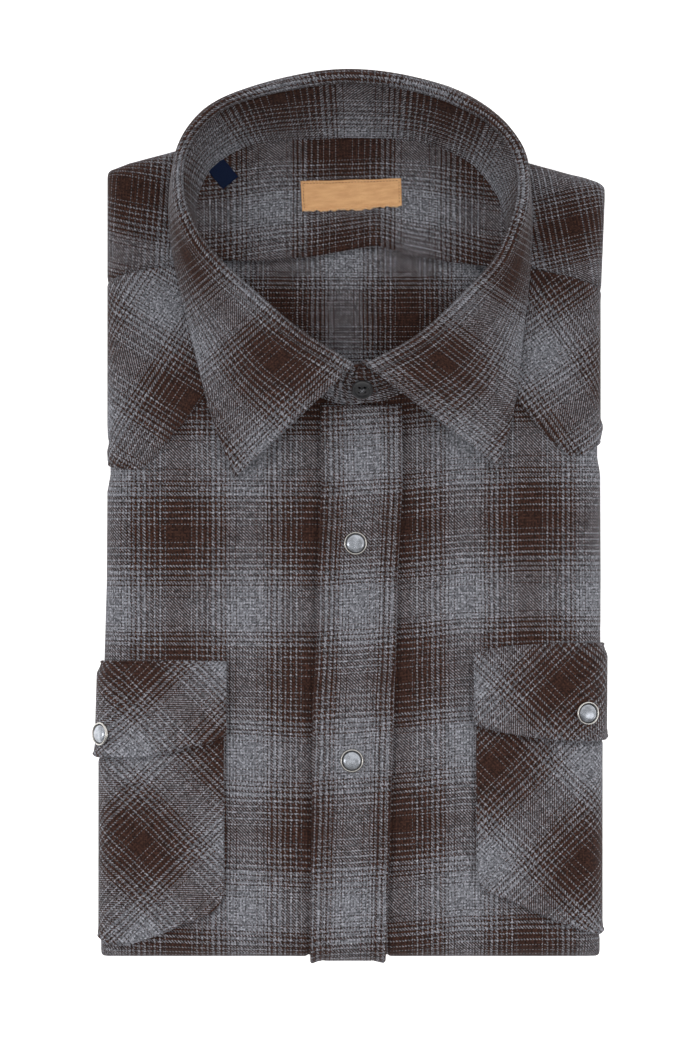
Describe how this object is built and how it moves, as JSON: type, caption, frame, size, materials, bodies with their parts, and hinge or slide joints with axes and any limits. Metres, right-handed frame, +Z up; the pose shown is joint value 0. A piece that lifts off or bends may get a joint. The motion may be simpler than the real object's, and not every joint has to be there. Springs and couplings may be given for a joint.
{
  "type": "long-sleeved western snap shirt of plaid flannel, folded, lying face up",
  "caption": "Folded western snap shirt in brown and grey plaid flannel, with pointed yokes, flap pockets and a buttoned collar.",
  "frame": {"origin": "on the surface that the folded shirt lies on, under the middle of its outline", "axes": "+Z up out of the shirt's face, +Y from the bottom fold towards the collar, +X towards the wearer's left side"},
  "size_m": [0.2418, 0.42, 0.044],
  "materials": {
    "flannel": "brushed twill flannel in a brown and grey ombre plaid, matt, with a soft nap",
    "snap_silver": "polished silver metal",
    "snap_pearl": "grey pearl, glossy",
    "button_plastic": "dark grey plastic, satin",
    "label_cloth": "woven satin label, tan",
    "tab_cloth": "woven tape, navy"
  },
  "bodies": {
    "root": {"folded_layers": "flannel", "inside_back": "flannel", "inside_back_yoke": "flannel", "back_yoke": "flannel", "front_right": "flannel", "front_left": "flannel", "front_yoke_right": "flannel", "front_yoke_left": "flannel", "placket": "flannel", "pocket_right": "flannel", "pocket_left": "flannel", "flap_right": "flannel", "flap_left": "flannel", "collar_stand": "flannel", "collar_leaf": "flannel", "placket_snap_1_ring": "snap_silver", "placket_snap_2_ring": "snap_silver", "flap_snap_right_ring": "snap_silver", "flap_snap_left_ring": "snap_silver", "placket_snap_1_cap": "snap_pearl", "placket_snap_2_cap": "snap_pearl", "flap_snap_right_cap": "snap_pearl", "flap_snap_left_cap": "snap_pearl", "collar_button": "button_plastic", "neck_label": "label_cloth", "size_tab": "tab_cloth"}
  },
  "joints": []
}
